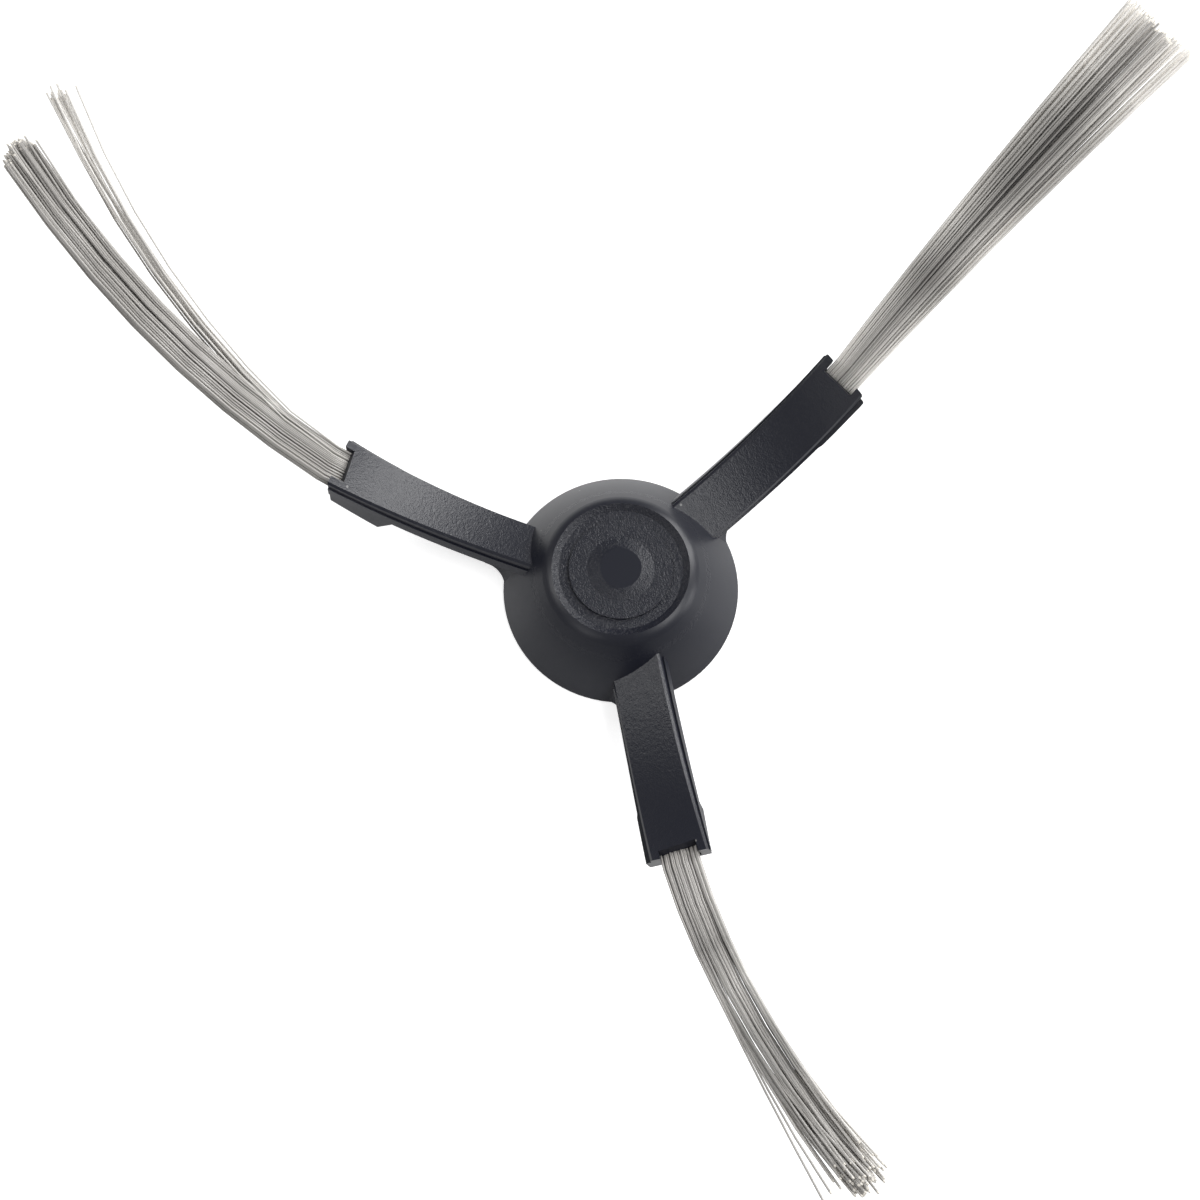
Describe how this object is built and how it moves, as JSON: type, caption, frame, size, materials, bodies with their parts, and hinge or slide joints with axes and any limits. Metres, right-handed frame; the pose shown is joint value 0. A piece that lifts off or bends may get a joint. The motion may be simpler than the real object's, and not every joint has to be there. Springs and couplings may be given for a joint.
{
  "type": "robot vacuum side brush",
  "caption": "Robot vacuum side brush: domed hub with a drive socket behind it and rising, twisted arms that end in sleeves holding bristle tufts.",
  "frame": {"origin": "hub axis at the plane of the hub's open back", "axes": "+Z out of the dome along the hub axis, +X along the first arm, seen from above"},
  "size_m": [0.1252, 0.1252, 0.0424],
  "materials": {
    "hub_plastic": "satin black moulding, lightly grained on the arm tops and in the crown recess",
    "bristle_nylon": "translucent grey nylon filament",
    "bead_nylon": "fused grey nylon"
  },
  "bodies": {
    "root": {"hub_moulding": "hub_plastic", "bristle_tuft_1": "bristle_nylon", "bristle_tuft_2": "bristle_nylon", "bristle_tuft_3": "bristle_nylon", "root_bead_1": "bead_nylon", "root_bead_2": "bead_nylon", "root_bead_3": "bead_nylon"}
  },
  "joints": []
}
